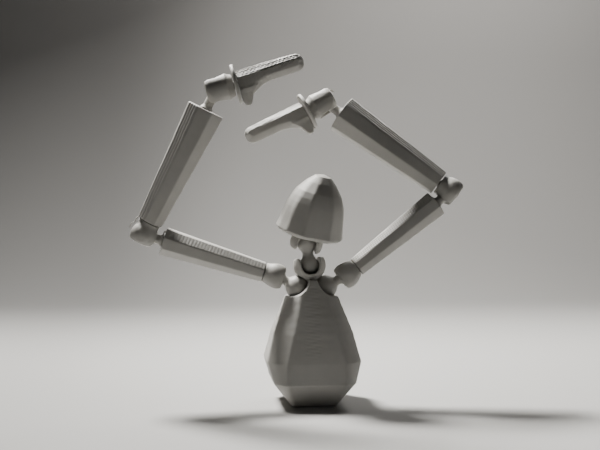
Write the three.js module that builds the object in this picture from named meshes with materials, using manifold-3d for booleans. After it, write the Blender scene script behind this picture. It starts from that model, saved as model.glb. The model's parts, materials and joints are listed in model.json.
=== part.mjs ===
// A printed, posable humanoid kit that stands on its own flat base.
// Faceted torso and head, and two arms whose beams are joined by ball studs in two-jaw fork sockets.
// Millimetres, +Z up, the front faces -Y, and the origin is the centre of the flat base.
// Right and left are the figure's own: the right arm is on -X.

import * as THREE from 'three';
import { mergeVertices } from 'three/addons/utils/BufferGeometryUtils.js';
import Module from 'manifold-3d';

const wasm = await Module();
wasm.setup();

const GAP = 0.3; // clearance between pieces that touch

// Torso: a faceted pear whose belly is deeper than it is wide. Each ring is [height, radius of its
// corners, half the angle of each of its four wide panels, depth against width]. The corners between
// two wide panels almost join at the base.
const TORSO_RINGS = [
  [0, 10.7, 43, 1.2],
  [8.6, 17.6, 35, 1.24],
  [15.8, 19.4, 31.4, 1],
  [26.3, 15.8, 29, 1],
  [36.7, 11.0, 28, 1],
  [44.2, 7.7, 28, 1],
];
// Two round channels run from front to back through the torso's top and leave a ridge between them.
const CHANNEL = { x: 8.3, z: 45.3, radius: 7 };

// Head: a faceted half egg, measured from its widest ring.
const HEAD_RINGS = [
  [-1.3, 11.0],
  [0, 12.4],
  [8.8, 10.7],
  [14.8, 8.3],
  [18.2, 5.6],
  [20.6, 3.0],
  [21.5, 0],
];
const HEAD_CORNERS_DEG = [24, 56, 80, 100, 124, 156];
const HEAD_LIFT = 4.4; // widest ring above the upper neck ball
const HEAD_TURN_DEG = 9.5;

// Neck: a link with a ball at each end, held in a fork on the torso and one under the head.
const NECK = {
  ball: 3.5,
  cavity: 3.8,
  outer: 5.9,
  slot: 3.3,
  floor: 3.1,
  tip: 2.6,
  stem: 2.0,
  length: 8,
  x: -0.7,
  z: 49.3,
  forkLeanDeg: -5,
  linkLeanDeg: -8,
  headLeanDeg: 13,
  headNodDeg: 12,
};

// Arm joints: ball studs, and the fork sockets that clip over them.
const ARM = {
  ball: 3.2,
  cavity: 3.5,
  slot: 2.05,
  stem: 1.7,
  peg: 1.3,
};
const SHOULDER = { x: 5.2, z: 41.4, knob: 4.2, reach: 8.4, riseDeg: 28.5, pegEnd: 32 };
const UPPER_ARM = { length: 49.4, start: 5.0, studReach: 7.3, startWidth: 7.0, endWidth: 9.7 };
const FOREARM = { length: 57.0, start: 5.4, studReach: 7.6, startWidth: 9.0, endWidth: 13.2 };
const STUD_DEPTH = 5; // how far a stud's root runs into its beam
const HAND = { discStart: 6.75, disc: 1.3, discRadius: 7.0, thickness: 5.0, chamfer: 2.0, end: 32.2 };
const THUMB_TAPER_DEG = 14; // the thumb thins on both faces towards its tip

// The stored pose: each beam's lean from straight up, turning towards +X, and each upper arm's twist
// about its own length, which brings the right hand forwards and takes the left hand back.
const POSE = {
  right: { side: -1, upperArm: -72.6, twist: -8, forearm: 26.5, hand: 74, handTurn: 0 },
  left: { side: 1, upperArm: 51.8, twist: -10, forearm: -53.4, hand: -118, handTurn: 180 },
};

const COLOURS = { shell: 0xdedbd1, joint: 0xd8d5ca, beam: 0xe2dfd6 };

const rad = THREE.MathUtils.degToRad;

// ---- helpers -------------------------------------------------------------------------------

function toSolid(geometry) {
  const plain = geometry.clone();
  plain.deleteAttribute('normal');
  plain.deleteAttribute('uv');
  const merged = mergeVertices(plain, 1e-4);
  const index = merged.index.array;
  const kept = [];
  for (let i = 0; i < index.length; i += 3) {
    const [a, b, c] = [index[i], index[i + 1], index[i + 2]];
    if (a !== b && b !== c && c !== a) kept.push(a, b, c);
  }
  const mesh = new wasm.Mesh({
    numProp: 3,
    vertProperties: merged.attributes.position.array,
    triVerts: Uint32Array.from(kept),
  });
  return new wasm.Manifold(mesh);
}

function toGeometry(solid) {
  const mesh = solid.getMesh();
  const indexed = new THREE.BufferGeometry();
  indexed.setAttribute('position', new THREE.BufferAttribute(mesh.vertProperties, 3));
  indexed.setIndex(new THREE.BufferAttribute(mesh.triVerts, 1));
  const flat = indexed.toNonIndexed();
  flat.computeVertexNormals();
  return flat;
}

function named(name, solid, colour) {
  const material = new THREE.MeshStandardMaterial({ color: colour, roughness: 0.62, metalness: 0 });
  const mesh = new THREE.Mesh(toGeometry(solid), material);
  mesh.name = name;
  return mesh;
}

function union(first, ...others) {
  return others.reduce((whole, other) => whole.add(other), first);
}

function cut(whole, ...tools) {
  return tools.reduce((left, tool) => left.subtract(tool), whole);
}

function ball(radius, x = 0, y = 0, z = 0, around = 20, rows = 12) {
  const geometry = new THREE.SphereGeometry(radius, around, rows);
  geometry.rotateX(Math.PI / 2);
  geometry.translate(x, y, z);
  return toSolid(geometry);
}

function box(low, high) {
  const size = high.map((value, i) => value - low[i]);
  const geometry = new THREE.BoxGeometry(...size);
  geometry.translate(...low.map((value, i) => value + size[i] / 2));
  return toSolid(geometry);
}

// A turned solid about +Z. The profile is a list of [radius, height] that rises along the axis.
function turned(profile, around = 16) {
  const points = profile.map(([radius, height]) => new THREE.Vector2(radius, height));
  const geometry = new THREE.LatheGeometry(points, around);
  geometry.rotateX(Math.PI / 2);
  return toSolid(geometry);
}

// Points on a ball's outline about +Z, from one angle to another, where 0 is its lowest point.
function ballOutline(radius, z, fromDeg, toDeg, steps) {
  const points = [];
  for (let i = 0; i <= steps; i++) {
    const angle = rad(fromDeg + ((toDeg - fromDeg) * i) / steps);
    points.push([Math.max(0, radius * Math.sin(angle)), z - radius * Math.cos(angle)]);
  }
  points[points.length - 1][0] *= toDeg === 180 ? 0 : 1;
  return points;
}

// A faceted body between rings of corners. Each ring is { z, radius, depth, cornersDeg }.
function loft(rings) {
  const count = rings[0].cornersDeg.length;
  const positions = [];
  for (const { z, radius, depth, cornersDeg } of rings) {
    for (const corner of cornersDeg) {
      positions.push(radius * Math.sin(rad(corner)), -radius * depth * Math.cos(rad(corner)), z);
    }
  }
  const bottom = positions.length / 3;
  positions.push(0, 0, rings[0].z);
  const top = bottom + 1;
  positions.push(0, 0, rings[rings.length - 1].z);
  const index = [];
  for (let ring = 0; ring < rings.length - 1; ring++) {
    for (let j = 0; j < count; j++) {
      const a = ring * count + j;
      const b = ring * count + ((j + 1) % count);
      index.push(a, b, b + count, a, b + count, a + count);
    }
  }
  for (let j = 0; j < count; j++) {
    const last = (rings.length - 1) * count;
    index.push(bottom, (j + 1) % count, j);
    index.push(top, last + j, last + ((j + 1) % count));
  }
  const geometry = new THREE.BufferGeometry();
  geometry.setAttribute('position', new THREE.Float32BufferAttribute(positions, 3));
  geometry.setIndex(index);
  return toSolid(geometry);
}

// A group at a joint's centre. Leaning it turns its +Z towards +X.
function pivot(name, x, z, leanDeg) {
  const group = new THREE.Group();
  group.name = name;
  group.position.set(x, 0, z);
  group.rotation.y = rad(leanDeg);
  return group;
}

// ---- torso, neck and head ------------------------------------------------------------------

// The rounded end of a fork's slot, which runs along X and is deeper than it is half wide.
function slotFloor(slot, floor, far) {
  const geometry = new THREE.CylinderGeometry(slot, slot, 2 * far, 20);
  geometry.rotateZ(Math.PI / 2);
  geometry.scale(1, 1, floor / slot);
  return toSolid(geometry);
}

// A fork socket whose two jaws stand at -Y and +Y and open towards -Z, around a ball at its centre.
function fork(body, { cavity, slot, floor, tip }) {
  const far = 20;
  return cut(
    body,
    box([-far, -far, -far], [far, far, -tip]),
    box([-far, -slot, -far], [far, slot, 0]),
    slotFloor(slot, floor, far),
    ball(cavity, 0, 0, 0, 18, 12),
  );
}

// An upright post that carries the neck fork above the narrow ridge between the shoulder pockets.
function ridgePost() {
  return turned([[0, 38], [2.4, 38], [2.4, 45.6], [0, 45.6]], 16).translate([NECK.x / 2, 0, 0]);
}

// The neck fork opens upwards, and the undersides of its cup rest on the two pockets.
function neckFork() {
  return fork(ball(NECK.outer, 0, 0, 0, 24, 14), NECK)
    .rotate([180, 0, 90])
    .rotate([0, NECK.forkLeanDeg, 0])
    .translate([NECK.x, 0, NECK.z]);
}

// The torso's body with its channels, a pocket for each shoulder knob, and a bore for each knob's peg.
function torso() {
  const rings = TORSO_RINGS.map(([z, radius, panelDeg, depth]) => ({
    z,
    radius,
    depth,
    cornersDeg: [0, 90, 180, 270].flatMap((turn) => [turn + panelDeg, turn + 45, turn + 90 - panelDeg]),
  }));
  let solid = loft(rings);
  for (const side of [-1, 1]) {
    const channel = new THREE.CylinderGeometry(CHANNEL.radius, CHANNEL.radius, 80, 48);
    channel.translate(side * CHANNEL.x, 0, CHANNEL.z);
    solid = solid.subtract(toSolid(channel));
  }
  solid = union(solid, ridgePost(), neckFork());
  for (const side of [-1, 1]) {
    const x = side * SHOULDER.x;
    solid = solid.subtract(ball(SHOULDER.knob + GAP, x, 0, SHOULDER.z, 22, 14));
    const bore = [
      [0, SHOULDER.pegEnd - GAP],
      [2.5, SHOULDER.pegEnd - GAP],
      [2.5, SHOULDER.pegEnd + 1.6],
      [2.0, SHOULDER.pegEnd + 2.2],
      [2.0, SHOULDER.z],
      [0, SHOULDER.z],
    ];
    solid = solid.subtract(turned(bore).translate([x, 0, 0]));
  }
  return solid;
}

function neckLink() {
  const split = THREE.MathUtils.radToDeg(Math.asin(NECK.stem / NECK.ball));
  return turned(
    [
      ...ballOutline(NECK.ball, 0, 0, 180 - split, 9),
      ...ballOutline(NECK.ball, NECK.length, split, 180, 9),
    ],
    20,
  );
}

function headSocket() {
  const seatTop = 5.0;
  const pegTop = 11.5;
  const seat = turned([[0, 2], [4.9, 2], [4.9, seatTop], [0, seatTop]], 24);
  const peg = turned([[0, 3.5], [2.2, 3.5], [2.2, pegTop - 0.5], [1.7, pegTop], [0, pegTop]]);
  const body = ball(NECK.outer, 0, 0, 0, 24, 14).subtract(box([-9, -9, 3.6], [9, 9, 9]));
  return fork(union(body, seat), { ...NECK, floor: 3.4 }).add(peg).rotate([0, 0, 90]);
}

function head() {
  const cornersDeg = [...HEAD_CORNERS_DEG, ...HEAD_CORNERS_DEG.map((deg) => 360 - deg).reverse()];
  const egg = loft(HEAD_RINGS.map(([z, radius]) => ({ z, radius, depth: 1, cornersDeg })))
    .rotate([0, 0, HEAD_TURN_DEG])
    .translate([0, 0, HEAD_LIFT]);
  const seat = turned([[0, 0], [5.3, 0], [5.3, 5.3], [0, 5.3]], 24);
  const bore = turned([[0, 4], [2.5, 4], [2.5, 11.8], [0, 11.8]]);
  return cut(egg, seat, bore);
}

// ---- arms ----------------------------------------------------------------------------------

// The shoulder's knob sits in its pocket on a barbed peg, and its stud rises outwards to the arm.
function shoulderKnob(side) {
  const pegEnd = SHOULDER.pegEnd - SHOULDER.z;
  const peg = turned([
    [0, pegEnd],
    [1.8, pegEnd],
    [2.2, pegEnd + 0.8],
    [1.7, pegEnd + 1.4],
    [1.7, 0],
    [0, 0],
  ]);
  const split = THREE.MathUtils.radToDeg(Math.asin(ARM.stem / ARM.ball));
  const stud = turned([
    [0, 0],
    [ARM.stem, 0],
    ...ballOutline(ARM.ball, SHOULDER.reach, split, 180, 8),
  ]).rotate([0, side * (90 - SHOULDER.riseDeg), 0]);
  return union(ball(SHOULDER.knob, 0, 0, 0, 22, 14), peg, stud);
}

function shoulderCup() {
  const body = union(ball(5.1, 0, 0, 0), turned([[0, 0], [4.6, 0], [3.4, 4.7], [0, 4.7]]))
    .subtract(box([-9, -9, 4.7], [9, 9, 9]));
  return fork(body, { ...ARM, floor: 3.4, tip: 2.5 }).add(cupPeg(4.2, 9.4));
}

function elbowCup() {
  const body = union(ball(5.2, 0, 0, 0), turned([[0, 0], [4.7, 0], [3.7, 5.1], [0, 5.1]]))
    .subtract(box([-9, -9, 5.1], [9, 9, 9]));
  return fork(body, { ...ARM, floor: 3.9, tip: 2.8 }).add(cupPeg(4.6, 10.1));
}

function wristCup() {
  const end = HAND.discStart - GAP;
  const body = turned(
    [
      [0, -3.6],
      [3.7, -3.6],
      [4.5, -3.0],
      [4.8, -2.0],
      [4.8, 4.2],
      [4.2, 5.2],
      [3.7, end],
      [0, end],
    ],
    20,
  );
  return fork(body, { ...ARM, floor: 3.8, tip: 3.6 }).add(cupPeg(5.5, 13.7));
}

function cupPeg(from, to) {
  return turned([[0, from], [ARM.peg, from], [ARM.peg, to - 0.4], [ARM.peg - 0.4, to], [0, to]], 14);
}

function pegBore(from, to) {
  return turned([[0, from], [ARM.peg + GAP, from], [ARM.peg + GAP, to], [0, to]], 14);
}

// An eight-sided beam that widens along +Z, with a peg bore at its start and a stud bore at its end.
function beam({ length, start, studReach, startWidth, endWidth }) {
  const end = length - studReach;
  const corner = 1 / (2 * Math.cos(Math.PI / 8));
  const geometry = new THREE.CylinderGeometry(endWidth * corner, startWidth * corner, end - start, 8);
  geometry.rotateY(Math.PI / 8);
  geometry.rotateX(Math.PI / 2);
  geometry.translate(0, 0, (start + end) / 2);
  const studRoot = end - STUD_DEPTH - GAP;
  const studBore = turned([
    [0, studRoot],
    [ARM.stem + GAP, studRoot],
    [ARM.stem + GAP, end + 1],
    [0, end + 1],
  ]);
  return cut(toSolid(geometry), pegBore(start - 1, start + 5), studBore);
}

// A ball stud along +Z whose ball is at the beam's length, with a collar against the beam's end.
function stud({ length, studReach }) {
  const end = length - studReach;
  const split = THREE.MathUtils.radToDeg(Math.asin(ARM.stem / ARM.ball));
  return turned([
    [0, end - STUD_DEPTH],
    [ARM.stem, end - STUD_DEPTH],
    [ARM.stem, end + GAP],
    [2.5, end + GAP],
    [ARM.stem, end + 1.4],
    ...ballOutline(ARM.ball, length, split, 180, 8),
  ]);
}

function cuffDisc() {
  const { discStart, disc, discRadius } = HAND;
  const plate = turned(
    [
      [0, discStart],
      [discRadius - 0.3, discStart],
      [discRadius, discStart + 0.3],
      [discRadius, discStart + disc - 0.3],
      [discRadius - 0.3, discStart + disc],
      [0, discStart + disc],
    ],
    24,
  );
  return plate.subtract(pegBore(discStart - 1, discStart + disc + 1));
}

// An extruded outline whose first axis becomes +Z and whose second becomes -X, with chamfered edges.
function chamferedPlate(outline, thickness, chamfer) {
  const geometry = new THREE.ExtrudeGeometry(outline, {
    depth: thickness - 2 * chamfer,
    bevelEnabled: true,
    bevelThickness: chamfer,
    bevelSize: chamfer,
    bevelOffset: -chamfer,
    bevelSegments: 1,
    curveSegments: 5,
  });
  geometry.translate(0, 0, -thickness / 2 + chamfer);
  const turn = new THREE.Matrix4().set(0, -1, 0, 0, 0, 0, -1, 0, 1, 0, 0, 0, 0, 0, 0, 1);
  geometry.applyMatrix4(turn);
  return toSolid(geometry);
}

// The mitten hand: its back is towards -X, and its palm and thumb are towards +X.
function palm() {
  const root = HAND.discStart + HAND.disc + GAP;
  const start = root - HAND.chamfer - 1;
  const outline = new THREE.Shape();
  outline.moveTo(start, 4.8);
  outline.lineTo(29.0, 4.8);
  outline.quadraticCurveTo(HAND.end, 4.8, HAND.end, 1.7);
  outline.quadraticCurveTo(HAND.end, -1.3, 29.0, -1.4);
  outline.quadraticCurveTo(24, -1.6, 19.2, -1.9);
  outline.quadraticCurveTo(15.6, -2.4, 13.0, -4.4);
  outline.lineTo(start, -4.8);
  outline.closePath();
  const thumbOutline = new THREE.Shape();
  thumbOutline.moveTo(root - 1, -2);
  thumbOutline.lineTo(14.6, -2);
  thumbOutline.lineTo(12.4, -4.6);
  thumbOutline.lineTo(11.5, -6.8);
  thumbOutline.quadraticCurveTo(11.0, -8.2, 9.8, -8.2);
  thumbOutline.quadraticCurveTo(8.7, -8.2, 8.4, -6.8);
  thumbOutline.lineTo(root - 1, -4.4);
  thumbOutline.closePath();
  const taper = rad(THUMB_TAPER_DEG);
  const reach = HAND.thickness / 2 * Math.cos(taper) + 1.4 * Math.sin(taper);
  let thumb = chamferedPlate(thumbOutline, HAND.thickness, 0.6);
  for (const face of [-1, 1]) {
    thumb = thumb.trimByPlane([-Math.sin(taper), -face * Math.cos(taper), 0], -reach);
  }
  return chamferedPlate(outline, HAND.thickness, HAND.chamfer)
    .add(thumb)
    .trimByPlane([0, 0, 1], root)
    .subtract(pegBore(root - 1, 14));
}

function arm(name, { side, upperArm, twist, forearm, hand, handTurn }) {
  const root = new THREE.Group();
  const knob = pivot(`${name}_shoulder_turn`, side * SHOULDER.x, SHOULDER.z, 0);
  knob.add(named(`${name}_shoulder_knob`, shoulderKnob(side), COLOURS.joint));

  const rise = rad(SHOULDER.riseDeg);
  const shoulderX = side * (SHOULDER.x + SHOULDER.reach * Math.cos(rise));
  const shoulderZ = SHOULDER.z + SHOULDER.reach * Math.sin(rise);
  const upper = pivot(`${name}_upper`, shoulderX, shoulderZ, upperArm);
  const twisted = new THREE.Group();
  twisted.rotation.z = rad(twist);
  twisted.add(
    named(`${name}_upper_arm`, beam(UPPER_ARM), COLOURS.beam),
    named(`${name}_elbow_stud`, stud(UPPER_ARM), COLOURS.joint),
  );
  upper.add(named(`${name}_shoulder_cup`, shoulderCup(), COLOURS.joint), twisted);

  const lower = pivot(`${name}_lower`, 0, UPPER_ARM.length, forearm - upperArm);
  lower.add(
    named(`${name}_elbow_cup`, elbowCup(), COLOURS.joint),
    named(`${name}_forearm`, beam(FOREARM), COLOURS.beam),
    named(`${name}_wrist_stud`, stud(FOREARM), COLOURS.joint),
  );
  twisted.add(lower);

  const mitten = pivot(`${name}_hand`, 0, FOREARM.length, hand - forearm);
  const roll = new THREE.Group();
  roll.rotation.z = rad(handTurn);
  roll.add(
    named(`${name}_wrist_cup`, wristCup(), COLOURS.joint),
    named(`${name}_cuff_disc`, cuffDisc(), COLOURS.shell),
    named(`${name}_mitten`, palm(), COLOURS.shell),
  );
  mitten.add(roll);
  lower.add(mitten);
  root.add(knob, upper);
  return root;
}

// ---- assembly ------------------------------------------------------------------------------

const figure = new THREE.Group();
figure.add(named('torso', torso(), COLOURS.shell));

const neck = pivot('neck', NECK.x, NECK.z, NECK.linkLeanDeg);
neck.add(named('neck_link', neckLink(), COLOURS.joint));
const skull = pivot('skull', 0, NECK.length, NECK.headLeanDeg - NECK.linkLeanDeg);
const nodding = new THREE.Group();
nodding.name = 'nodding';
nodding.rotation.x = rad(NECK.headNodDeg);
nodding.add(named('head_socket', headSocket(), COLOURS.joint), named('head', head(), COLOURS.shell));
skull.add(nodding);
neck.add(skull);
figure.add(neck);

for (const [name, pose] of Object.entries(POSE)) figure.add(arm(name, pose));

export default figure;
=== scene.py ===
import json
import math

import bpy
import numpy as np
from mathutils import Matrix, Vector


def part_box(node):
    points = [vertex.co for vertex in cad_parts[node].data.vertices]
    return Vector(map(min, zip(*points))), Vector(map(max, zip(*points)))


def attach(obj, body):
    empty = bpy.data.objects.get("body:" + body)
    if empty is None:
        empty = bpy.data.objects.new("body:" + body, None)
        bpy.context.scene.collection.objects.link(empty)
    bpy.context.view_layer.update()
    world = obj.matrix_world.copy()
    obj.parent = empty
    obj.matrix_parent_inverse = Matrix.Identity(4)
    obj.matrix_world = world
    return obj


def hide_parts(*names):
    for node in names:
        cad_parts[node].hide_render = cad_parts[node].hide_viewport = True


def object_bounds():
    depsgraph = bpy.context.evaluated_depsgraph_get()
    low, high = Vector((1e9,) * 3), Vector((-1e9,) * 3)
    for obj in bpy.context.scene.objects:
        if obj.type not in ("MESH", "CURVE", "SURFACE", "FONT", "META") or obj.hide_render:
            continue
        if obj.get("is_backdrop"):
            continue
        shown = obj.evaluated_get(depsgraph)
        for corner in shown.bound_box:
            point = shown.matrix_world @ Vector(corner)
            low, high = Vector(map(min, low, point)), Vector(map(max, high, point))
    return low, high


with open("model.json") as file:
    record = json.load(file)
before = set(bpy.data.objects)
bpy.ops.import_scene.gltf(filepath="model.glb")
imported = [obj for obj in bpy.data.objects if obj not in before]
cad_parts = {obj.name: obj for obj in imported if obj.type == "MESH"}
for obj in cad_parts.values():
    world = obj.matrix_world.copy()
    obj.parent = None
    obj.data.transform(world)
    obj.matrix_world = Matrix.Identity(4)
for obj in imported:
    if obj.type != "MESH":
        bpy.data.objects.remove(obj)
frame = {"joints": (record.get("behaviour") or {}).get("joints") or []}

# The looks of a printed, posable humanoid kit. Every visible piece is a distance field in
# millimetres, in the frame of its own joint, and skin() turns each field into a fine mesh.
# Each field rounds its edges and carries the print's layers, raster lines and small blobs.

CAD_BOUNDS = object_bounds()
MM = 0.001

# Cell sizes of the meshes, in millimetres.
COARSER = 1.0
CELL_SHELL = 0.30 * COARSER
CELL_HEAD = CELL_SHELL * 0.9
CELL_BEAM = 0.20 * COARSER
CELL_LINED_BEAM = CELL_BEAM * 0.7
CELL_HAND = 0.16 * COARSER
CELL_JOINT = 0.15 * COARSER
# The extra space around a piece when it is meshed.
ROOM = 0.1

# Sizes shared with the CAD model, in millimetres. Each BALL, CUP, KNOB, STEM, PEG and COLLAR is a
# radius, and DISC is a thickness. A dict with a radius, low and high is a rod.
# The gap between two pieces that turn in each other:
CLEARANCE = 0.3
# How far a cut runs past the face that it opens:
OVERSHOOT = 1

# Each torso ring is (height, radius of its corners, half the angle of each wide panel, depth
# against width).
TORSO_RINGS = [
    (0, 10.7, 43, 1.2),
    (8.6, 17.6, 35, 1.24),
    (15.8, 19.4, 31.4, 1),
    (26.3, 15.8, 29, 1),
    (36.7, 11.0, 28, 1),
    (44.2, 7.7, 28, 1),
]
CHANNEL = dict(x=8.3, z=45.3, radius=7)
NECK_FOOT = dict(radius=2.4, low=38, high=45.6)

# A fork's cavity is the radius around its ball, and its slot is half the gap between its jaws.
# Its floor is how deep the gap is behind the ball's centre, and its tip is how far the jaws
# reach in front of it.
NECK_BALL = 3.5
NECK_STEM = 2.0
NECK_LENGTH = 8
NECK_CUP = 5.9
NECK_FORK = dict(cavity=3.8, slot=3.3, tip=2.6)
NECK_FORK_LEAN_DEG = -5
TORSO_FORK_FLOOR = 3.1
HEAD_FORK_FLOOR = 3.4
HEAD_CUP_TOP = 3.6
HEAD_FLANGE = dict(radius=4.9, low=2, high=5.0)
HEAD_PEG = dict(radius=2.2, low=3.5, high=11.5)

# Each head ring is (height, radius of its corners).
HEAD_RINGS = [(-1.3, 11.0), (0, 12.4), (8.8, 10.7), (14.8, 8.3), (18.2, 5.6), (20.6, 3.0), (21.5, 0)]
HEAD_CORNERS_DEG = [24, 56, 80, 100, 124, 156]
HEAD_LIFT = 4.4
HEAD_TURN_DEG = 9.5
HEAD_HOLLOW = dict(radius=5.3, low=-5, high=5.3)
HEAD_BORE = dict(radius=HEAD_PEG["radius"] + CLEARANCE, low=4, high=HEAD_PEG["high"] + CLEARANCE)

KNOB = 4.2
KNOB_REACH = 8.4
KNOB_RISE_DEG = 28.5
KNOB_PEG = 1.7
KNOB_PEG_END = -9.4
# The barb widens from its tip to its rim and then narrows to the peg.
BARB = dict(tip=1.8, rim=2.2, rim_height=0.8, height=1.4)
BARB_POCKET = dict(radius=BARB["rim"] + CLEARANCE, low=31.7, high=33.6)

BALL = 3.2
STEM = 1.7
PEG = 1.3
ARM_FORK = dict(cavity=3.5, slot=2.05)
SHOULDER_CUP = dict(
    radius=5.1, foot_radius=4.6, top_radius=3.4, top=4.7, floor=3.4, tip=2.5, peg_end=9.4,
)
ELBOW_CUP = dict(
    radius=5.2, foot_radius=4.7, top_radius=3.7, top=5.1, floor=3.9, tip=2.8, peg_end=10.1,
)

UPPER_ARM = dict(length=49.4, start=5.0, reach=7.3, start_width=7.0, end_width=9.7)
FOREARM = dict(length=57.0, start=5.4, reach=7.6, start_width=9.0, end_width=13.2)
PEG_BORE_DEPTH = 5
STUD_DEPTH = 5
COLLAR = 2.5
COLLAR_HEIGHT = 1.4

DISC_START = 6.75
DISC = 1.3
DISC_RADIUS = 7.0
# The wrist cup's profile is a list of (radius, height).
WRIST_CUP_PROFILE = [
    (3.7, -3.6), (4.5, -3.0), (4.8, -2.0), (4.8, 4.2), (4.2, 5.2), (3.7, DISC_START - CLEARANCE),
]
WRIST_FORK_FLOOR = 3.8
WRIST_FORK_TIP = 3.6
WRIST_PEG = dict(radius=PEG, low=5.5, high=13.7)
HAND_THICKNESS = 5.0
HAND_CHAMFER = 2.0
HAND_END = 32.2
HAND_BORE_END = 14
PALM_BACK = 4.8
THUMB_TIP = -8.2
THUMB_TAPER_DEG = 14

# Sizes of the visible pieces only, in millimetres, most of them marks that the printer left.
# The gap between a hand and its disc, and how deep in its cup a peg starts:
HAND_GAP = 0.14
PEG_ROOT = 0.6
# The relief of a plain print and of a coarse one:
PLAIN = 0.02
COARSE = 0.03
HAIR = 0.2
WRIST_HAIR = [(-3.5, -1.0, -3.0), (-3.2, -1.0, -4.3), (-2.2, -1.3, -5.0)]
UPPER_ARM_STRAND = [(4.0, -2.2, 41.8), (3.6, -2.4, 42.7), (1.4, -2.4, 42.8), (1.0, -2.2, 41.9)]
FOREARM_STRAND = [
    (-4.1, -0.8, 5.7),
    (-4.9, -0.9, 4.4),
    (-4.6, -1.0, 3.2),
    (-5.4, -1.1, 2.3),
    (-5.6, -1.0, 1.5),
    (-5.4, -0.8, 0.6),
]
# How far the strands may reach beside a beam, and towards the elbow beside the forearm:
STRAND_REACH = 6.9
FOREARM_STRAND_LOW = 0.4
DISC_BLOB = 0.75
LAYER = 0.2


# ---- frames of the joints --------------------------------------------------------------------

JOINTS = {joint["name"]: joint for joint in frame["joints"]}
FRONT_TO_BACK = Vector((0, 1, 0))


def joint_place(name):
    return Vector(JOINTS[name]["pos_m"])


def joint_axis(name):
    return Vector(JOINTS[name]["axis"]).normalized()


def frame_at(origin, z_axis, y_axis):
    """A matrix in metres with that origin and Z axis, and with Y as near to y_axis as it can be."""
    z = z_axis.normalized()
    x = y_axis.cross(z).normalized()
    y = z.cross(x)
    matrix = Matrix((x, y, z)).transposed().to_4x4()
    matrix.translation = origin
    return matrix


def arm_frames(name, side):
    """The frames that an arm's pieces are built in. All but the knob's have +Z along their limb."""
    shoulder = joint_place(name + "_shoulder_lift")
    elbow = joint_place(name + "_elbow_bend")
    wrist = joint_place(name + "_wrist_bend")
    upper_z = -joint_axis(name + "_upper_arm_twist")
    fore_z = side * joint_axis(name + "_forearm_twist")
    hand_z = side * joint_axis(name + "_hand_twist")
    elbow_y = -side * joint_axis(name + "_elbow_bend")
    wrist_y = -side * joint_axis(name + "_wrist_bend")
    return {
        "knob": frame_at(joint_place(name + "_shoulder_turn"), Vector((0, 0, 1)), FRONT_TO_BACK),
        "cup": frame_at(shoulder, upper_z, FRONT_TO_BACK),
        "upper": frame_at(shoulder, upper_z, elbow_y),
        "fore": frame_at(elbow, fore_z, elbow_y),
        # The left hand is turned over, so that its thumb also points inwards.
        "hand": frame_at(wrist, hand_z, -side * wrist_y),
    }


# ---- distance fields -------------------------------------------------------------------------
# A field takes the point arrays (x, y, z) and gives the signed distance to a surface, negative
# inside it. join, keep and carve combine two fields with an edge or fillet of the given softness.


def join(a, b, soft=0.0):
    return -keep(-a, -b, soft)


def keep(a, b, soft=0.0):
    if soft <= 0:
        return np.maximum(a, b)
    near = np.clip(soft - np.abs(a - b), 0, None) / soft
    return np.maximum(a, b) + near * near * soft / 4


def carve(a, b, soft=0.0):
    return keep(a, -b, soft)


def ball(p, radius, centre=(0, 0, 0)):
    x, y, z = (p[i] - centre[i] for i in range(3))
    return np.sqrt(x * x + y * y + z * z) - radius


def frustum(p, low, low_radius, high, high_radius, soft=0.0):
    """A cone about Z between two heights."""
    slope = (high_radius - low_radius) / (high - low)
    around = np.hypot(p[0], p[1]) - (low_radius + slope * (p[2] - low))
    side = around / math.hypot(1, slope)
    return keep(side, np.maximum(low - p[2], p[2] - high), soft)


def rod(p, radius, low, high, soft=0.0):
    """A cylinder about Z between two heights."""
    return frustum(p, low, radius, high, radius, soft)


def seen_from(p, matrix):
    """The points p, given in one frame, as coordinates in the frame of matrix (millimetres)."""
    back = np.array(matrix.inverted())
    return tuple(back[i][0] * p[0] + back[i][1] * p[1] + back[i][2] * p[2] + back[i][3] for i in range(3))


def polygon(u, v, outline):
    """Distance in the plane (u, v) to a closed outline."""
    nearest = np.inf
    inside = np.zeros(np.broadcast(u, v).shape, bool)
    for (au, av), (bu, bv) in zip(outline, outline[1:] + outline[:1]):
        eu, ev = bu - au, bv - av
        along = np.clip(((u - au) * eu + (v - av) * ev) / (eu * eu + ev * ev), 0, 1)
        nearest = np.minimum(nearest, (u - au - eu * along) ** 2 + (v - av - ev * along) ** 2)
        if ev:
            inside ^= ((av > v) != (bv > v)) & (u < au + eu * (v - av) / ev)
    return np.where(inside, -1, 1) * np.sqrt(nearest)


def faceted(p, rings, soft):
    """A body with flat panels between rings.

    Each ring is (height, radius of its corners, depth against width, angles of its corners).
    """
    x, y, z = p
    heights = [ring[0] for ring in rings]
    # The x and y of each corner of each ring:
    corners = np.array(
        [
            [
                (radius * math.sin(math.radians(deg)), -radius * depth * math.cos(math.radians(deg)))
                for deg in angles
            ]
            for _, radius, depth, angles in rings
        ]
    )
    count = corners.shape[1]

    def panel(height, first):
        """A panel's outward direction at some heights, and how far it is from the axis."""
        flat = np.ravel(height)
        ax, ay, bx, by = (
            np.interp(flat, heights, corners[:, corner % count, axis]).reshape(height.shape)
            for corner in (first, first + 1)
            for axis in (0, 1)
        )
        size = np.maximum(np.hypot(bx - ax, by - ay), 1e-9)
        return (by - ay) / size, (ax - bx) / size, (ax * by - ay * bx) / size

    step = 0.05
    solid = None
    for first in range(count):
        out_x, out_y, reach = panel(z, first)
        slope = (panel(z + step, first)[2] - reach) / step
        side = (x * out_x + y * out_y - reach) / np.sqrt(1 + slope * slope)
        solid = side if solid is None else keep(solid, side, soft)
    return keep(solid, np.maximum(heights[0] - z, z - heights[-1]), soft)


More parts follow.
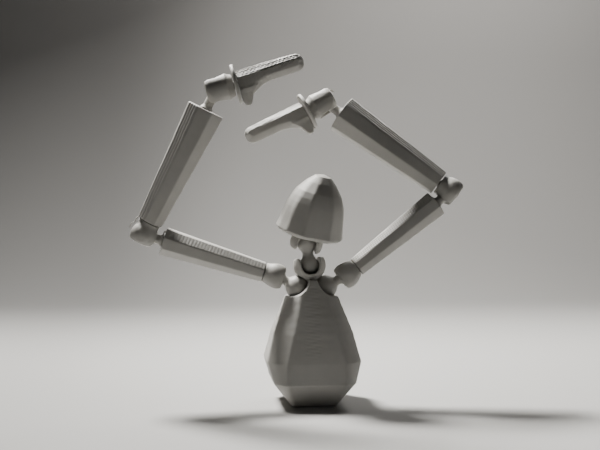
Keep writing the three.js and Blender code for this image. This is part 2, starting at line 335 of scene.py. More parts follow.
def turned(p, profile):
    """A body turned about Z, whose profile is a list of (radius, height)."""
    outline = list(profile) + [(-radius, height) for radius, height in reversed(profile)]
    return polygon(np.hypot(p[0], p[1]), p[2], outline)


def thread(p, points, radius):
    """A thin strand of filament along a chain of points."""
    nearest = np.inf
    for a, b in zip(points, points[1:]):
        edge = [b[i] - a[i] for i in range(3)]
        size = sum(e * e for e in edge)
        along = np.clip(sum((p[i] - a[i]) * edge[i] for i in range(3)) / size, 0, 1)
        nearest = np.minimum(nearest, sum((p[i] - a[i] - edge[i] * along) ** 2 for i in range(3)))
    return np.sqrt(nearest) - radius


def slot_space(p, slot, floor):
    """The space of a fork's slot: open towards -Z, with a rounded floor, and running along X."""
    across, up = np.abs(p[1]), np.maximum(p[2], 0)
    ratio = np.sqrt((across / slot) ** 2 + (up / floor) ** 2)
    slope = np.sqrt((across / slot**2) ** 2 + (up / floor**2) ** 2)
    return (ratio - 1) * ratio / np.maximum(slope, 1e-6)


def fork(p, body, cavity, slot, floor, tip, soft=0.7):
    """Cuts a body into a socket: two jaws at -Y and +Y, open towards -Z around a ball."""
    body = carve(body, slot_space(p, slot, floor), soft)
    body = keep(body, -tip - p[2], soft)
    return carve(body, ball(p, cavity), soft)


def waves(p, seed, scale):
    """Smooth, uneven relief from -1 to 1 whose features are about scale millimetres across."""
    draw = np.random.default_rng(seed)
    count = 5
    total = 0
    for _ in range(count):
        direction = draw.normal(size=3)
        direction *= math.tau / scale / np.linalg.norm(direction) * draw.uniform(0.6, 1.5)
        phase = draw.uniform(0, math.tau)
        total = total + np.sin(p[0] * direction[0] + p[1] * direction[1] + p[2] * direction[2] + phase)
    return total / count


# ---- meshes ----------------------------------------------------------------------------------


def corner_offsets(axis):
    """The four grid edges along an axis, as their starts in a cell."""
    others = [i for i in range(3) if i != axis]
    for first in (0, 1):
        for second in (0, 1):
            start = [0, 0, 0]
            start[others[0]], start[others[1]] = first, second
            yield np.array(start)


def skin(field, low, high, cell):
    """Points and four-sided faces of a field's surface, with one point in each cell that it crosses."""
    margin = 1.5 * cell
    low = np.array(low, float) - margin
    count = np.ceil((np.array(high, float) + margin - low) / cell).astype(int) + 1
    lines = [low[i] + cell * np.arange(count[i]) for i in range(3)]
    grid = field((lines[0][:, None, None], lines[1][None, :, None], lines[2][None, None, :]))
    inside = np.broadcast_to(grid, count) < 0

    # The surface passes through each cell that has corners on both of its sides.
    filled = np.zeros(count - 1, np.int8)
    for i in (0, 1):
        for j in (0, 1):
            for k in (0, 1):
                filled += inside[i:count[0] - 1 + i, j:count[1] - 1 + j, k:count[2] - 1 + k]
    active = (filled > 0) & (filled < 8)
    cells = np.argwhere(active)
    number = np.full(active.shape, -1)
    number[active] = np.arange(len(cells))

    # Each such cell's point is the mean of the places where its edges cross the surface.
    total = np.zeros((len(cells), 3))
    hits = np.zeros(len(cells))
    for axis in range(3):
        unit = np.eye(3, dtype=int)[axis]
        for start in corner_offsets(axis):
            a, b = cells + start, cells + start + unit
            here, there = grid[tuple(a.T)], grid[tuple(b.T)]
            crossed = (here < 0) != (there < 0)
            share = here[crossed] / (here[crossed] - there[crossed])
            total[crossed] += a[crossed] + share[:, None] * unit
            hits[crossed] += 1
    points = low + cell * total / hits[:, None]

    # Each grid edge that crosses the surface gives a face, between the four cells around it.
    faces = []
    for axis in range(3):
        u, v = np.eye(3, dtype=int)[[i for i in range(3) if i != axis]]
        unit = np.eye(3, dtype=int)[axis]
        first = inside[tuple(slice(0, count[i] - unit[i]) for i in range(3))]
        second = inside[tuple(slice(unit[i], count[i]) for i in range(3))]
        edges = np.argwhere(first != second)
        edges = edges[(edges @ u > 0) & (edges @ v > 0)]
        ring = [number[tuple((edges - step).T)] for step in (0 * u, u, u + v, v)]
        ring = np.stack(ring, axis=1)
        outward = first[tuple(edges.T)] == (axis != 1)
        faces.append(np.where(outward[:, None], ring, ring[:, ::-1]))
    return settle(field, points, 0.1 * cell), np.concatenate(faces)


def settle(field, points, step):
    """Moves points straight onto a field's surface, by at most three steps at a time."""
    passes = 2
    least_steepness = 0.3
    for _ in range(passes):
        slope = np.stack(
            [
                field(tuple((points + step * unit).T)) - field(tuple((points - step * unit).T))
                for unit in np.eye(3)
            ],
            axis=1,
        ) / (2 * step)
        steep = np.maximum((slope * slope).sum(axis=1), least_steepness)
        move = -slope * (field(tuple(points.T)) / steep)[:, None]
        size = np.linalg.norm(move, axis=1, keepdims=True)
        points = points + move * np.minimum(1, 3 * step / np.maximum(size, 1e-9))
    return points


def piece(name, node, body, material, field, low, high, cell, matrix=None):
    """A visible piece that stands for a CAD node and rides on its body."""
    points, faces = skin(field, low, high, cell)
    mesh = bpy.data.meshes.new(name)
    mesh.vertices.add(len(points))
    mesh.vertices.foreach_set("co", (points * MM).ravel())
    mesh.loops.add(faces.size)
    mesh.loops.foreach_set("vertex_index", faces.ravel())
    mesh.polygons.add(len(faces))
    mesh.polygons.foreach_set("loop_start", np.arange(0, faces.size, 4))
    mesh.polygons.foreach_set("loop_total", np.full(len(faces), 4))
    mesh.update(calc_edges=True)
    mesh.validate()
    mesh.polygons.foreach_set("use_smooth", np.ones(len(mesh.polygons), bool))
    mesh.materials.append(material)
    thing = bpy.data.objects.new(name, mesh)
    bpy.context.scene.collection.objects.link(thing)
    thing.matrix_world = matrix or Matrix.Identity(4)
    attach(thing, body)
    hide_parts(node)


# ---- materials -------------------------------------------------------------------------------


def printed_plastic(name, slot, colour, layer_axis, roughness, seed):
    """Matte white filament: fine layers along layer_axis, mottling, and slightly polished spots."""
    mottle_shade = 0.90
    gloss_spread = 0.09
    # The distance between a wave texture's bands when its scale is 1:
    band_distance = 0.314
    material = bpy.data.materials.new(name)
    material["slot"] = slot
    material.use_nodes = True
    nodes, links = material.node_tree.nodes, material.node_tree.links
    shader = nodes["Principled BSDF"]
    shader.inputs["IOR"].default_value = 1.46
    shader.inputs["Specular IOR Level"].default_value = 0.42
    shader.inputs["Subsurface Weight"].default_value = 0.04
    shader.inputs["Subsurface Radius"].default_value = (1.0, 0.85, 0.6)
    shader.inputs["Subsurface Scale"].default_value = 0.0015

    place = nodes.new("ShaderNodeTexCoord")

    def noise(scale, detail, offset):
        shift = nodes.new("ShaderNodeMapping")
        shift.inputs["Location"].default_value = (offset, seed, -offset)
        texture = nodes.new("ShaderNodeTexNoise")
        texture.inputs["Scale"].default_value = scale
        texture.inputs["Detail"].default_value = detail
        links.new(place.outputs["Object"], shift.inputs["Vector"])
        links.new(shift.outputs["Vector"], texture.inputs["Vector"])
        return texture.outputs["Fac"]

    def bump(height, strength, distance):
        node = nodes.new("ShaderNodeBump")
        node.inputs["Strength"].default_value = strength
        node.inputs["Distance"].default_value = distance * MM
        links.new(height, node.inputs["Height"])
        return node

    tint = nodes.new("ShaderNodeValToRGB")
    tint.color_ramp.elements[0].position = 0.30
    tint.color_ramp.elements[0].color = tuple(c * mottle_shade for c in colour) + (1,)
    tint.color_ramp.elements[1].position = 0.72
    tint.color_ramp.elements[1].color = tuple(colour) + (1,)
    links.new(noise(scale=160, detail=5, offset=0.3), tint.inputs["Fac"])
    links.new(tint.outputs["Color"], shader.inputs["Base Color"])

    gloss = nodes.new("ShaderNodeMapRange")
    gloss.inputs["To Min"].default_value = roughness - gloss_spread
    gloss.inputs["To Max"].default_value = roughness + gloss_spread
    links.new(noise(scale=420, detail=3, offset=1.7), gloss.inputs["Value"])
    links.new(gloss.outputs["Result"], shader.inputs["Roughness"])

    layers = nodes.new("ShaderNodeTexWave")
    layers.wave_type = "BANDS"
    layers.bands_direction = layer_axis
    layers.inputs["Scale"].default_value = 1 / (LAYER * MM) * band_distance
    layers.inputs["Distortion"].default_value = 0.25
    layers.inputs["Detail"].default_value = 1.0
    layers.inputs["Detail Scale"].default_value = 0.4
    links.new(place.outputs["Object"], layers.inputs["Vector"])
    lines = bump(layers.outputs["Fac"], strength=0.35, distance=0.03)
    grain = bump(noise(scale=1500, detail=4, offset=3.1), strength=0.30, distance=0.05)
    links.new(lines.outputs["Normal"], grain.inputs["Normal"])
    links.new(grain.outputs["Normal"], shader.inputs["Normal"])
    return material


SHELL = printed_plastic("shell_plastic", "shell_plastic", (0.43, 0.42, 0.395), "Z", 0.56, 1.0)
BEAM = printed_plastic("beam_plastic", "beam_plastic", (0.44, 0.43, 0.405), "X", 0.55, 2.0)
JOINT = printed_plastic("joint_plastic", "joint_plastic", (0.42, 0.41, 0.385), "Z", 0.52, 3.0)
HAND = printed_plastic("hand_plastic", "shell_plastic", (0.44, 0.43, 0.405), "Y", 0.55, 4.0)


# ---- torso, neck and head --------------------------------------------------------------------


def neck_fork_frame():
    """The frame of the torso's neck fork in millimetres, with +Z into the fork's floor."""
    origin = joint_place("neck_nod") / MM
    lean = Matrix.Rotation(math.radians(NECK_FORK_LEAN_DEG), 4, "Y")
    flip = Matrix.Rotation(math.radians(90), 4, "Z") @ Matrix.Rotation(math.pi, 4, "X")
    return Matrix.Translation(origin) @ lean @ flip


def torso_relief(p):
    """Soft bands around the upper body, and a patch of short scratches near the front's middle."""
    x, y, z = p
    band_depth, band_pitch, band_start, band_fade = 0.035, 2.9, 20, 6
    scratch_depth, scratch_pitch = 0.05, 1.35
    patch_middle, patch_half_width, patch_edge, patch_start, patch_fade = -1.0, 3.0, 0.7, 16, 5
    bands = band_depth * np.sin(math.tau * z / band_pitch) * np.clip((z - band_start) / band_fade, 0, 1)
    patch = np.clip((patch_half_width - np.abs(x - patch_middle)) / patch_edge, 0, 1)
    patch = patch * np.clip((z - patch_start) / patch_fade, 0, 1) * (y < 0)
    scratches = np.sin(math.tau * z / scratch_pitch) * np.sin(math.tau * z / 5.3 + 0.8 * x)
    return bands + scratch_depth * patch * scratches


def torso_field(p):
    x, y, z = p
    rings = []
    for height, radius, panel, depth in TORSO_RINGS:
        angles = [turn + deg for turn in (0, 90, 180, 270) for deg in (panel, 45, 90 - panel)]
        rings.append((height, radius, depth, angles))
    body = faceted(p, rings, soft=0.45) + torso_relief(p)
    channel = np.hypot(np.abs(x) - CHANNEL["x"], z - CHANNEL["z"]) - CHANNEL["radius"]
    body = carve(body, channel, soft=0.4)
    # The neck leans to one side, and its foot stands halfway there.
    neck_x = JOINTS["neck_nod"]["pos_m"][0] / MM
    body = join(body, rod((x - neck_x / 2, y, z), **NECK_FOOT), soft=0.6)
    f = seen_from(p, neck_fork_frame())
    cup = fork(f, ball(f, NECK_CUP), floor=TORSO_FORK_FLOOR, **NECK_FORK)
    body = join(body, cup, soft=0.5)
    shoulder = joint_place("left_shoulder_turn") / MM
    for side in (-1, 1):
        centre = (side * shoulder.x, 0, shoulder.z)
        body = carve(body, ball(p, KNOB + CLEARANCE, centre), soft=0.35)
        q = (x - side * shoulder.x, y, z)
        bore = rod(q, KNOB_PEG + CLEARANCE, BARB_POCKET["high"], shoulder.z)
        body = carve(body, join(rod(q, **BARB_POCKET), bore), soft=0.15)
    return body + PLAIN * waves(p, 11, 5)


def neck_link_field(p):
    body = join(ball(p, NECK_BALL), ball(p, NECK_BALL, (0, 0, NECK_LENGTH)))
    body = join(body, rod(p, NECK_STEM, 0, NECK_LENGTH), soft=0.9)
    return body + PLAIN * waves(p, 21, 3)


def head_socket_field(p):
    # The jaws stand at -X and +X, so the fork is cut in a frame turned by a quarter.
    q = (p[1], -p[0], p[2])
    cup = keep(ball(q, NECK_CUP), q[2] - HEAD_CUP_TOP, soft=0.5)
    cup = join(cup, rod(q, **HEAD_FLANGE, soft=0.3), soft=0.6)
    cup = fork(q, cup, floor=HEAD_FORK_FLOOR, **NECK_FORK)
    cup = join(cup, rod(q, **HEAD_PEG, soft=0.4), soft=0.2)
    return cup + PLAIN * waves(p, 31, 3)


def head_rings():
    """The rings of the head, with its flanks curved between the rim and the crown."""
    flank = HEAD_RINGS[1:5]
    curve = np.polyfit([height for height, _ in flank], [radius for _, radius in flank], 3)
    rim, crown = flank[0][0], flank[2][0]
    bowed = [(height, float(np.polyval(curve, height))) for height in np.linspace(rim, crown, 8)]
    return HEAD_RINGS[:1] + bowed + HEAD_RINGS[4:]


def head_field(p):
    turn = math.radians(HEAD_TURN_DEG)
    x = p[0] * math.cos(turn) + p[1] * math.sin(turn)
    y = p[1] * math.cos(turn) - p[0] * math.sin(turn)
    q = (x, y, p[2] - HEAD_LIFT)
    corners = HEAD_CORNERS_DEG + [360 - corner for corner in reversed(HEAD_CORNERS_DEG)]
    body = faceted(q, [(height, radius, 1, corners) for height, radius in head_rings()], soft=0.45)
    body = carve(body, rod(p, **HEAD_HOLLOW), soft=0.3)
    body = carve(body, rod(p, **HEAD_BORE), soft=0.2)
    return body + PLAIN * waves(p, 41, 5)


def build_torso():
    low, high = (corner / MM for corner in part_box("torso"))
    piece("torso_shell", "torso", "torso", SHELL, torso_field, low, high, CELL_SHELL)


def build_neck():
    neck, skull = joint_place("neck_nod"), joint_place("head_tilt")
    reach = NECK_BALL
    piece(
        "neck_dumbbell", "neck_link", "neck_link", JOINT, neck_link_field,
        (-reach, -reach, -reach), (reach, reach, NECK_LENGTH + reach), CELL_JOINT,
        frame_at(neck, skull - neck, FRONT_TO_BACK),
    )


def build_head():
    top = frame_at(joint_place("head_tilt"), joint_axis("head_turn"), FRONT_TO_BACK)
    reach = NECK_CUP + ROOM
    piece(
        "head_fork", "head_socket", "head_socket", JOINT, head_socket_field,
        (-reach, -reach, -NECK_FORK["tip"] - ROOM), (reach, reach, HEAD_PEG["high"] + ROOM),
        CELL_JOINT, top,
    )
    reach = max(radius for _, radius in HEAD_RINGS) + ROOM
    low, high = (HEAD_LIFT + HEAD_RINGS[end][0] for end in (0, -1))
    piece(
        "head_shell", "head", "head", SHELL, head_field,
        (-reach, -reach, low - ROOM), (reach, reach, high + ROOM), CELL_HEAD, top,
    )


# ---- shoulders, cups and studs ---------------------------------------------------------------


def stem_and_ball(p, low, high, soft):
    """A stem along +Z that ends in a ball at the height high."""
    return join(rod(p, STEM, low, high, soft=0.2), ball(p, BALL, (0, 0, high)), soft)


def knob_field(side):
    """A shoulder's knob: a ball with the arm's ball stud on its side and a barbed peg below."""
    rise = Matrix.Rotation(side * math.radians(90 - KNOB_RISE_DEG), 4, "Y")
    rim, foot = KNOB_PEG_END + BARB["rim_height"], KNOB_PEG_END + BARB["height"]

    def field(p):
        stud = stem_and_ball(seen_from(p, rise), 0, KNOB_REACH, soft=0.7)
        body = join(ball(p, KNOB), stud, soft=0.8)
        barb = join(
            frustum(p, KNOB_PEG_END, BARB["tip"], rim, BARB["rim"]),
            frustum(p, rim, BARB["rim"], foot, KNOB_PEG),
        )
        peg = join(barb, rod(p, KNOB_PEG, foot, 0))
        return join(body, peg, soft=0.3) + PLAIN * waves(p, 51 + side, 3)

    return field


def cup_field(seed, radius, foot_radius, top_radius, top, floor, tip, peg_end):
    """An arm socket: a ball-shaped cup that narrows to a foot, with a peg behind it."""

    def field(p):
        body = join(ball(p, radius), frustum(p, 0, foot_radius, top, top_radius), soft=0.4)
        body = keep(body, p[2] - top, soft=0.4)
        body = fork(p, body, floor=floor, tip=tip, **ARM_FORK)
        body = join(body, rod(p, PEG, top - PEG_ROOT, peg_end, soft=0.3), soft=0.2)
        return body + COARSE * waves(p, seed, 2.5)

    return field


def wrist_cup_field(seed, has_hair):
    """A barrel-shaped arm socket with a peg behind it, and perhaps a hair of filament."""

    def field(p):
        body = turned(p, WRIST_CUP_PROFILE)
        body = fork(p, body, floor=WRIST_FORK_FLOOR, tip=WRIST_FORK_TIP, soft=0.8, **ARM_FORK)
        body = join(body, rod(p, **WRIST_PEG, soft=0.3), soft=0.2)
        if has_hair:
            body = join(body, thread(p, WRIST_HAIR, HAIR), soft=0.3)
        return body + COARSE * waves(p, seed, 2.5)

    return field


def stud_field(sizes, seed):
    """The ball stud that is pressed into the far end of a beam."""
    end = sizes["length"] - sizes["reach"]

    def field(p):
        body = stem_and_ball(p, end - STUD_DEPTH, sizes["length"], soft=0.9)
        collar = frustum(p, end + CLEARANCE, COLLAR, end + COLLAR_HEIGHT, STEM)
        return join(body, collar, soft=0.3) + PLAIN * waves(p, seed, 2.5)

    return field


# ---- beams -----------------------------------------------------------------------------------
# A relief takes the place along a beam and across one of its facets, and gives a depth.


def raster_stripes(lean_deg, pitch, depth):
    """Stripes across a facet, at an angle to its beam."""
    along, aside = math.sin(math.radians(lean_deg)), math.cos(math.radians(lean_deg))
    return lambda z, across: depth * (1 + np.cos(math.tau * (z * along + across * aside) / pitch))


def weave(pitch, depth):
    """Fine lines that cross on a facet, along its beam and across it, both a little askew."""
    skew_along, skew_across = 0.06, 0.2

    def relief(z, across):
        lengthwise = np.cos(math.tau * (across + skew_along * z) / pitch)
        crosswise = np.cos(math.tau * (z - skew_across * across) / pitch)
        return depth * (2 + lengthwise + crosswise)

    return relief


def long_steps(z, across):
    """Layer lines along a facet, which break up where the print was rough."""
    depth, pitch = 0.09, 1.25
    slow_bend, quick_bend = 0.5 * np.sin(z / 4.1), 0.3 * np.sin(z / 1.3)
    return depth * (1 + np.cos(math.tau * across / pitch + slow_bend + quick_bend))


def beam_field(sizes, seed, facet_side, relief, strand):
    """An eight-sided beam with relief on the facet towards facet_side * X and -Y."""
    start, end = sizes["start"], sizes["length"] - sizes["reach"]
    facet_depth, facet_fade = 0.35, 0.2

    def field(p):
        x, y, z = p
        share = (z - start) / (end - start)
        half = (sizes["start_width"] + (sizes["end_width"] - sizes["start_width"]) * share) / 2
        slanted = (facet_side * x - y) / math.sqrt(2)
        across = (facet_side * x + y) / math.sqrt(2)
        mask = np.clip((slanted - half + facet_depth) / facet_fade, 0, 1)
        side = keep(np.abs(x), np.abs(y), soft=0.3)
        side = keep(side, np.abs(across), soft=0.3)
        side = keep(side, np.abs(slanted), soft=0.3) - half
        body = side + mask * relief(z, across)
        body = keep(body, np.maximum(start - z, z - end), soft=0.35)
        peg_bore = rod(p, PEG + CLEARANCE, start - OVERSHOOT, start + PEG_BORE_DEPTH)
        body = carve(body, peg_bore, soft=0.1)
        stud_bore = rod(p, STEM + CLEARANCE, end - STUD_DEPTH - CLEARANCE, end + OVERSHOOT)
        body = carve(body, stud_bore, soft=0.1)
        if strand:
            body = join(body, thread(p, strand, HAIR), soft=0.3)
        return body + PLAIN * waves(p, seed, 4)

    return field


# ---- hands -----------------------------------------------------------------------------------


def disc_field(seed):
    """The cuff disc, with a blob where the printer ended its rim."""

    def field(p):
        end = DISC_START + DISC
        body = rod(p, DISC_RADIUS, DISC_START, end, soft=0.6)
        hole = rod(p, PEG + CLEARANCE, DISC_START - OVERSHOOT, end + OVERSHOOT)
        body = carve(body, hole, soft=0.1)
        blob = ball(p, DISC_BLOB, (DISC_BLOB - DISC_RADIUS, -0.4, DISC_START + DISC_BLOB))
        return join(body, blob, soft=0.4) + COARSE * waves(p, seed, 2.5)

    return field


def curve_through(start, bend, end, steps=6):
    """Points on a quadratic arc after its start."""
    points = []
    for i in range(1, steps + 1):
        t = i / steps
        points.append(
            tuple((1 - t) ** 2 * start[k] + 2 * t * (1 - t) * bend[k] + t * t * end[k] for k in (0, 1))
        )
    return points


def palm_outline():
    """The flat of the hand seen from the front, as (along the hand, towards its back)."""
    start = DISC_START + DISC + CLEARANCE - HAND_CHAMFER - OVERSHOOT
    tips = 29.0
    outline = [(start, PALM_BACK), (tips, PALM_BACK)]
    for bend, end in (
        ((HAND_END, PALM_BACK), (HAND_END, 1.7)),
        ((HAND_END, -1.3), (tips, -1.4)),
        ((24, -1.6), (19.2, -1.9)),
        ((15.6, -2.4), (13.0, -4.4)),
    ):
        outline += curve_through(outline[-1], bend, end)
    outline.append((start, -PALM_BACK))
    return outline


def thumb_outline():
    """The thumb seen from the front, in the same directions as the palm."""
    start = DISC_START + DISC + CLEARANCE - OVERSHOOT
    outline = [(start, -2), (14.6, -2), (12.4, -4.6), (11.5, -6.8)]
    outline += curve_through(outline[-1], (11.0, THUMB_TIP), (9.8, THUMB_TIP))
    outline += curve_through(outline[-1], (8.7, THUMB_TIP), (8.4, -6.8))
    outline.append((start, -4.4))
    return outline


def mitten_field(seed):
    """A mitten hand with chamfered edges, a rough back and a thumb that tapers to its tip."""
    palm, thumb = palm_outline(), thumb_outline()
    root = DISC_START + DISC + HAND_GAP
    taper = math.radians(THUMB_TAPER_DEG)
    half = HAND_THICKNESS / 2
    step_depth, step_pitch = 0.05, 1.1
    rough_depth, rough_scale = 0.11, 1.3

    def field(p):
        x, y, z = p
        edge = polygon(z, -x, palm)
        # The back of the hand is rough, since it was the top of the print.
        rough = np.clip(-x - 1.5, 0, 1)
        depth = np.abs(y)
        body = keep(edge, depth - half, soft=0.2)
        chamfer = (edge + HAND_CHAMFER + depth - half) / math.sqrt(2)
        # The chamfer of the back is wide at the wrist and narrow at the fingertips.
        wide = HAND_CHAMFER * (1.5 - 0.8 * np.clip((z - root) / (HAND_END - root), 0, 1))
        roof = (edge + wide + depth - half) / math.sqrt(2)
        steps = step_depth * np.cos(math.tau * (edge - depth) / step_pitch + 0.6 * np.sin(z / 2.3))
        body = keep(body, chamfer * (1 - rough) + (roof + steps) * rough, soft=0.4)
        reach = half * math.cos(taper) + 1.4 * math.sin(taper)
        flank = x * math.sin(taper) + depth * math.cos(taper) - reach
        finger = keep(polygon(z, -x, thumb), flank, soft=0.6)
        body = join(body, finger, soft=0.8)
        body = keep(body, root - z, soft=0.1)
        body = carve(body, rod(p, PEG + CLEARANCE, root - OVERSHOOT, HAND_BORE_END), soft=0.1)
        roughness = rough_depth * rough * waves(p, seed + 50, rough_scale)
        return body + COARSE * waves(p, seed, 1.6) + roughness

    return field


# ---- arms ------------------------------------------------------------------------------------


def build_knob(add, side):
    reach = KNOB_REACH + BALL + CLEARANCE
    left, right = (-KNOB, reach) if side > 0 else (-reach, KNOB)
    low, high = KNOB_PEG_END - ROOM, KNOB_REACH * math.sin(math.radians(KNOB_RISE_DEG)) + BALL + ROOM
    add(
        "knob_piece", "shoulder_knob", "shoulder_knob", JOINT, knob_field(side),
        (left, -KNOB, low), (right, KNOB, high), CELL_JOINT, "knob",
    )


def build_cups(add, side, seed):
    for label, sizes, shift, frame_name in (
        ("shoulder", SHOULDER_CUP, 1, "cup"),
        ("elbow", ELBOW_CUP, 2, "fore"),
    ):
        radius = sizes["radius"]
        add(
            label + "_fork", label + "_cup", label + "_cup", JOINT, cup_field(seed + shift, **sizes),
            (-radius, -radius, -sizes["tip"]), (radius, radius, sizes["peg_end"] + ROOM),
            CELL_JOINT, frame_name,
        )
    radius = max(radius for radius, _ in WRIST_CUP_PROFILE) + ROOM
    hair_end = WRIST_HAIR[-1][2] - HAIR - ROOM
    # Only the left wrist has the hair.
    add(
        "wrist_fork", "wrist_cup", "wrist_cup", JOINT, wrist_cup_field(seed + 3, side > 0),
        (-radius, -radius, hair_end), (radius, radius, WRIST_PEG["high"] + ROOM), CELL_JOINT, "hand",
    )


def build_beam(add, beam, stud, frame_name, sizes, seed, facet_side, relief, strand, low, cell):
    """A beam, and the ball stud in its far end."""
    half = sizes["end_width"] / 2 + ROOM
    end = sizes["length"] - sizes["reach"]
    add(
        beam + "_beam", beam, beam, BEAM, beam_field(sizes, seed, facet_side, relief, strand),
        (-max(half, STRAND_REACH), -half, low), (half, half, end + OVERSHOOT), cell, frame_name,
    )
    add(
        stud + "_ball", stud, beam, JOINT, stud_field(sizes, seed + 2),
        (-BALL, -BALL, end - STUD_DEPTH), (BALL, BALL, sizes["length"] + BALL), CELL_JOINT, frame_name,
    )


def build_beams(add, side, seed):
    """An arm's two beams. Strands of filament hang on those of the right arm."""
    if side > 0:
        lines = weave(pitch=0.9, depth=0.05)
    else:
        lines = raster_stripes(lean_deg=83, pitch=1.17, depth=0.022)
    build_beam(
        add, "upper_arm", "elbow_stud", "upper", UPPER_ARM, seed + 4, facet_side=-side, relief=lines,
        strand=UPPER_ARM_STRAND if side < 0 else None, low=UPPER_ARM["start"], cell=CELL_LINED_BEAM,
    )
    build_beam(
        add, "forearm", "wrist_stud", "fore", FOREARM, seed + 5, facet_side=side, relief=long_steps,
        strand=FOREARM_STRAND if side < 0 else None, low=FOREARM_STRAND_LOW, cell=CELL_BEAM,
    )


def build_hand(add, seed):
    end = DISC_START + DISC
    add(
        "cuff_plate", "cuff_disc", "hand", HAND, disc_field(seed + 8),
        (-DISC_RADIUS, -DISC_RADIUS, DISC_START), (DISC_RADIUS, DISC_RADIUS, end), CELL_JOINT, "hand",
    )
    half = HAND_THICKNESS / 2
    back, tip = PALM_BACK + 2 * ROOM, 2 * ROOM - THUMB_TIP
    add(
        "mitten_hand", "mitten", "hand", HAND, mitten_field(seed + 9),
        (-back, -half, end), (tip, half, HAND_END + 2 * ROOM), CELL_HAND, "hand",
    )


def build_arm(name, side):
    frames = arm_frames(name, side)
    seed = 100 if side > 0 else 200

    def add(label, node, body, material, field, low, high, cell, frame_name):
        piece(
            f"{name}_{label}", f"{name}_{node}", f"{name}_{body}", material, field, low, high, cell,
            frames[frame_name],
        )

    build_knob(add, side)
    build_cups(add, side, seed)
    build_beams(add, side, seed)
    build_hand(add, seed)


build_torso()
build_neck()
build_head()
build_arm("right", -1)
build_arm("left", 1)


# ---- stage, light and camera -----------------------------------------------------------------
# Places and sizes are in metres from here on, and each light's power is in watts. The stage's
# width is measured from its middle, and its radius is that of the curve up to the wall.
STAGE = dict(width=1.6, near=-0.9, far=0.42, radius=0.25, top=0.9)
PAPER = (0.44, 0.436, 0.425, 1)
# Each fade is painted shade: (axis, where it starts and ends, and the share of the paper's tone at each
# end).
# Painted shade on the floor just in front of the figure, out of view, so that less light bounces onto its
# front.
FLOOR_PAINTED_SHADE = ("Y", -0.14, -0.08, 0.15, 1.0)
# Painted shade, darker towards the left of the floor and the wall.
LEFT_PAINTED_SHADE = ("X", -0.14, 0.03, 0.6, 1.0)
# Painted shade, darker towards the back of the floor and on the wall.
WALL_PAINTED_SHADE = ("Y", 0.08, 0.42, 1.0, 0.55)

FIGURE_MIDDLE = (0, 0, 0.06)
WALL_MIDDLE = (0.30, 0.68, 0.24)
# Each light is (name, place, target, diameter, power, colour).
LIGHTS = [
    ("top_light", (-0.16, 0.19, 0.48), FIGURE_MIDDLE, 0.12, 10.5, (1.0, 0.98, 0.94)),
    ("back_right_light", (0.20, 0.32, 0.36), FIGURE_MIDDLE, 0.20, 0.9, (1.0, 0.98, 0.95)),
    ("wall_light", (0.24, 0.36, 0.50), WALL_MIDDLE, 0.20, 2.6, (1.0, 0.96, 0.92)),
    ("front_fill", (0.35, -0.6, 0.35), FIGURE_MIDDLE, 0.5, 0.03, (0.93, 0.96, 1.0)),
]
WORLD_COLOUR = (0.55, 0.55, 0.56, 1)
WORLD_STRENGTH = 0.02

CAMERA_DISTANCE = 0.34
CAMERA_HEIGHT = 0.0637
CAMERA_SIDE = -0.0041
CAMERA_TURN_DEG = 6.2
CAMERA_LENS_MM = 56.7


def stage_material():
    """Pale paper, with painted shade on the floor in front of the figure, on the left and up the wall."""
    material = bpy.data.materials.new("paper")
    material.use_nodes = True
    nodes, links = material.node_tree.nodes, material.node_tree.links
    shader = nodes["Principled BSDF"]
    shader.inputs["Roughness"].default_value = 0.9
    place = nodes.new("ShaderNodeTexCoord")
    split = nodes.new("ShaderNodeSeparateXYZ")
    links.new(place.outputs["Object"], split.inputs["Vector"])
    tone = None
    for axis, start, end, low, high in (FLOOR_PAINTED_SHADE, LEFT_PAINTED_SHADE, WALL_PAINTED_SHADE):
        ramp = nodes.new("ShaderNodeMapRange")
        ramp.interpolation_type = "SMOOTHSTEP"
        for name, value in (("From Min", start), ("From Max", end), ("To Min", low), ("To Max", high)):
            ramp.inputs[name].default_value = value
        links.new(split.outputs[axis], ramp.inputs["Value"])
        if tone is None:
            tone = ramp.outputs["Result"]
            continue
        product = nodes.new("ShaderNodeMath")
        product.operation = "MULTIPLY"
        links.new(tone, product.inputs[0])
        links.new(ramp.outputs["Result"], product.inputs[1])
        tone = product.outputs["Value"]
    shade = nodes.new("ShaderNodeValToRGB")
    shade.color_ramp.elements[0].color = (0.0, 0.0, 0.0, 1)
    shade.color_ramp.elements[1].color = PAPER
    links.new(tone, shade.inputs["Fac"])
    links.new(shade.outputs["Color"], shader.inputs["Base Color"])
    return material


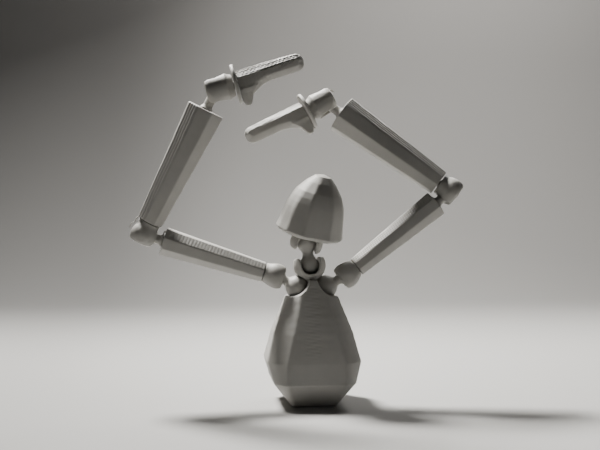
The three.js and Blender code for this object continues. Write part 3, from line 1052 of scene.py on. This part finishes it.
def build_stage():
    """A pale floor that curves up into a backdrop."""
    far, radius = STAGE["far"], STAGE["radius"]
    arc_steps = 16
    profile = [(STAGE["near"], 0.0), (far, 0.0)]
    for i in range(1, arc_steps + 1):
        turn = math.pi / 2 * i / arc_steps
        profile.append((far + radius * math.sin(turn), radius * (1 - math.cos(turn))))
    profile.append((far + radius, STAGE["top"]))
    points = [(side * STAGE["width"], y, z) for y, z in profile for side in (-1, 1)]
    faces = [(2 * i, 2 * i + 1, 2 * i + 3, 2 * i + 2) for i in range(len(profile) - 1)]
    mesh = bpy.data.meshes.new("backdrop")
    mesh.from_pydata(points, [], faces)
    mesh.polygons.foreach_set("use_smooth", np.ones(len(faces), bool))
    mesh.materials.append(stage_material())
    backdrop = bpy.data.objects.new("backdrop", mesh)
    bpy.context.scene.collection.objects.link(backdrop)
    backdrop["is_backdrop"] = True


def area_light(name, place, target, size, power, colour):
    lamp = bpy.data.lights.new(name, "AREA")
    lamp.shape = "DISK"
    lamp.size = size
    lamp.energy = power
    lamp.color = colour
    thing = bpy.data.objects.new(name, lamp)
    bpy.context.scene.collection.objects.link(thing)
    thing.location = place
    thing.rotation_euler = (Vector(target) - Vector(place)).to_track_quat("-Z", "Y").to_euler()


def build_light():
    for light in LIGHTS:
        area_light(*light)
    world = bpy.data.worlds.new("studio")
    world.use_nodes = True
    background = world.node_tree.nodes["Background"]
    background.inputs["Color"].default_value = WORLD_COLOUR
    background.inputs["Strength"].default_value = WORLD_STRENGTH
    bpy.context.scene.world = world


def build_camera():
    turn = math.radians(CAMERA_TURN_DEG)
    camera = bpy.data.cameras.new("camera")
    camera.sensor_width = 36
    camera.lens = CAMERA_LENS_MM
    camera.clip_start = 0.01
    thing = bpy.data.objects.new("camera", camera)
    bpy.context.scene.collection.objects.link(thing)
    thing.location = (
        CAMERA_SIDE - CAMERA_DISTANCE * math.sin(turn),
        -CAMERA_DISTANCE * math.cos(turn),
        CAMERA_HEIGHT,
    )
    thing.rotation_euler = (math.pi / 2, 0, -turn)
    bpy.context.scene.camera = thing


build_stage()
build_light()
build_camera()

[[list(map(float, corner)) for corner in box] for box in (CAD_BOUNDS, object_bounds())]
